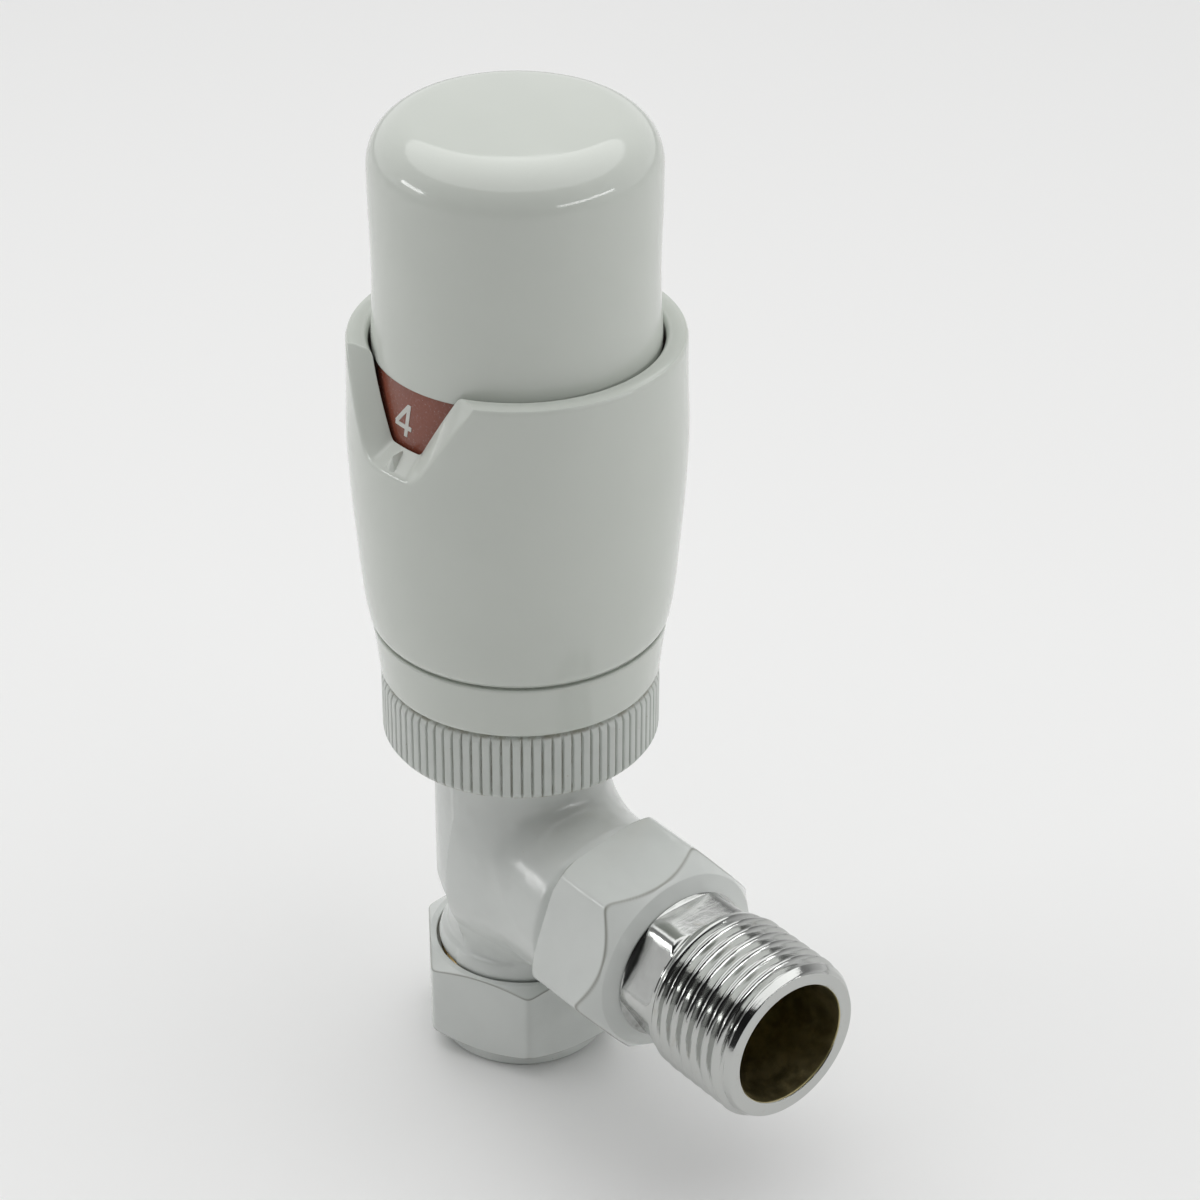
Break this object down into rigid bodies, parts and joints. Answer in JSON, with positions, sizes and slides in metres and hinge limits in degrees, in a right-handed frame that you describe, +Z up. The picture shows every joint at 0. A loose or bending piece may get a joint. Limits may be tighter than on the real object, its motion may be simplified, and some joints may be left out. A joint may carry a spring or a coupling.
{
  "type": "thermostatic radiator valve",
  "caption": "Angled thermostatic radiator valve: dial head with windowed sleeve and scale band, knurled nut, painted body, compression nut for a pipe and union nut with threaded tail.",
  "frame": {"origin": "centre of the pipe mouth, in the lower face of the compression nut", "axes": "+Z up along the valve and head axis, +X out along the radiator tail, -Y towards the side of the head with the window and pointer"},
  "size_m": [0.0706, 0.04, 0.127],
  "materials": {
    "white_paint": "gloss white lacquer on forged brass",
    "white_plastic": "smooth glossy white",
    "knurl_plastic": "satin grey white",
    "red_plastic": "glossy brown red",
    "numeral_paint": "printed white",
    "chrome": "bright plated, with turned marks",
    "brass": "machined",
    "steel": "bright drawn",
    "aluminium": "drawn can",
    "carrier_plastic": "moulded natural",
    "rubber": "black elastomer"
  },
  "bodies": {
    "valve": {"valve_body": "white_paint", "insert_housing": "brass", "insert_oring": "rubber", "gland_nut": "brass", "stem_oring": "rubber"},
    "stem": {"push_pin": "steel", "valve_stem": "steel", "return_spring": "steel", "plug_holder": "brass", "valve_plug": "rubber"},
    "head": {"head_base": "white_plastic", "outer_sleeve": "white_plastic", "retaining_clip": "steel"},
    "dial": {"dial_cap": "white_plastic", "scale_band": "red_plastic", "scale_numerals": "numeral_paint"},
    "sensor": {"sensor_carrier": "carrier_plastic", "overtravel_spring": "steel", "sensor_capsule": "aluminium", "sensor_piston": "steel"},
    "head_nut": {"knurled_nut": "knurl_plastic"},
    "tail": {"radiator_tail": "chrome", "tail_snap_ring": "steel", "tail_oring": "rubber"},
    "tail_nut": {"union_nut": "white_paint"},
    "pipe_olive": {"olive": "brass"},
    "pipe_nut": {"compression_nut": "white_paint"}
  },
  "joints": [
    {"name": "head_lift", "type": "slide", "parent": "valve", "child": "head", "axis": [0, 0, 1], "range_m": [0, 0.006]},
    {"name": "head_nut_turn", "type": "hinge", "parent": "head", "child": "head_nut", "pos_m": [0, 0, 0.05], "axis": [0, 0, 1], "range_deg": [0, 1441]},
    {"name": "dial_turn", "type": "hinge", "parent": "head", "child": "dial", "pos_m": [0, 0, 0.08], "axis": [0, 0, 1], "range_deg": [-240, 60]},
    {"name": "sensor_travel", "type": "slide", "parent": "dial", "child": "sensor", "axis": [0, 0, 1], "range_m": [-0.00241, 0.00061]},
    {"name": "stem_travel", "type": "slide", "parent": "valve", "child": "stem", "axis": [0, 0, 1], "range_m": [-0.00241, 0.00061], "deforming": ["return_spring"]},
    {"name": "tail_travel", "type": "slide", "parent": "valve", "child": "tail", "axis": [1, 0, 0], "range_m": [0, 0.00726]},
    {"name": "union_nut_turn", "type": "hinge", "parent": "tail", "child": "tail_nut", "pos_m": [0.024, 0, 0.0268], "axis": [1, 0, 0], "range_deg": [0, 1441]},
    {"name": "olive_travel", "type": "slide", "parent": "valve", "child": "pipe_olive", "axis": [0, 0, -1], "range_m": [0, 0.00726]},
    {"name": "pipe_nut_turn", "type": "hinge", "parent": "pipe_olive", "child": "pipe_nut", "pos_m": [0, 0, 0.007], "axis": [0, 0, -1], "range_deg": [0, 1441]}
  ],
  "couplings": [
    {"joint": "head_nut_turn", "follows": "head_lift", "rad_per_m": 4188.8},
    {"joint": "sensor_travel", "follows": "dial_turn", "m_per_rad": 0.00057296},
    {"joint": "stem_travel", "follows": "dial_turn", "m_per_rad": 0.00057296},
    {"joint": "union_nut_turn", "follows": "tail_travel", "rad_per_m": 3463.7},
    {"joint": "pipe_nut_turn", "follows": "olive_travel", "rad_per_m": 3463.7}
  ]
}
